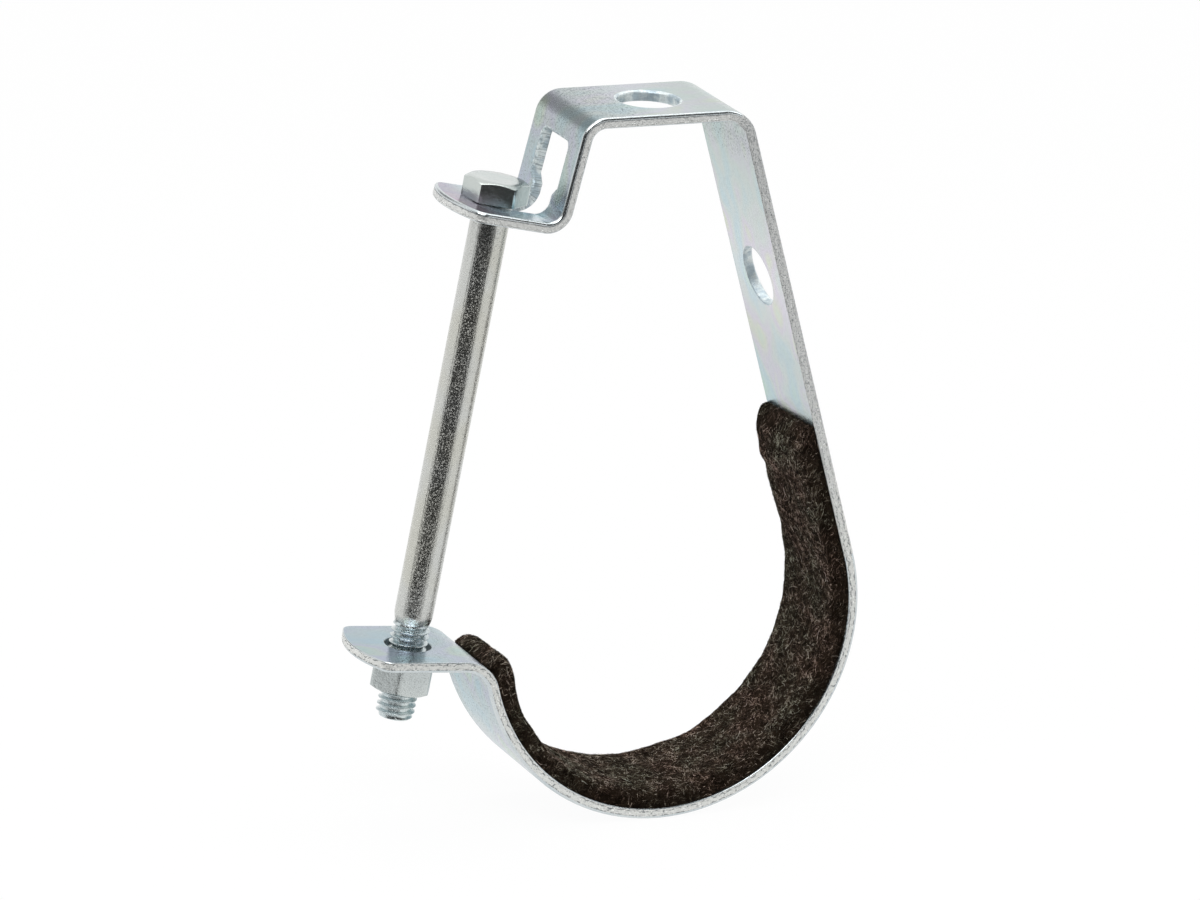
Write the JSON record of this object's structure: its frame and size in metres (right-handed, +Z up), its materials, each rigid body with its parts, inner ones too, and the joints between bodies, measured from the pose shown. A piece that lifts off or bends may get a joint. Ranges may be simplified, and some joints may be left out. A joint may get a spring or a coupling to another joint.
{
  "type": "felt-lined j pipe hanger",
  "caption": "Zinc-plated steel J-shaped pipe hanger for a 3 inch pipe, with a dark felt lining, a keyhole slot and a long side bolt and nut",
  "frame": {"origin": "on the pipe's axis, at the middle of the strap's width", "axes": "+Z up the hanger rod, +Y along the pipe, +X from the bolt side to the straight leg"},
  "size_m": [0.1303, 0.0286, 0.1812],
  "materials": {
    "zinc_band": "satin, pale blue zinc plating",
    "felt": "matte, pressed wool felt",
    "zinc_bolt": "bright zinc plating",
    "zinc_nut": "bright zinc plating"
  },
  "bodies": {
    "hanger": {"j_band": "zinc_band", "felt_liner": "felt"},
    "bolt": {"side_bolt": "zinc_bolt"},
    "nut": {"hex_nut": "zinc_nut"}
  },
  "joints": [
    {"name": "bolt_lift", "type": "slide", "parent": "hanger", "child": "bolt", "axis": [0.1426, 0, 0.9898], "range_m": [0, 0.00635]},
    {"name": "nut_turn", "type": "hinge", "parent": "hanger", "child": "nut", "pos_m": [-0.06525, 0, -0.00698], "axis": [0.1426, 0, 0.9898], "range_deg": [-1440, 0]}
  ],
  "couplings": [
    {"joint": "nut_turn", "follows": "bolt_lift", "rad_per_m": -3957.9}
  ]
}
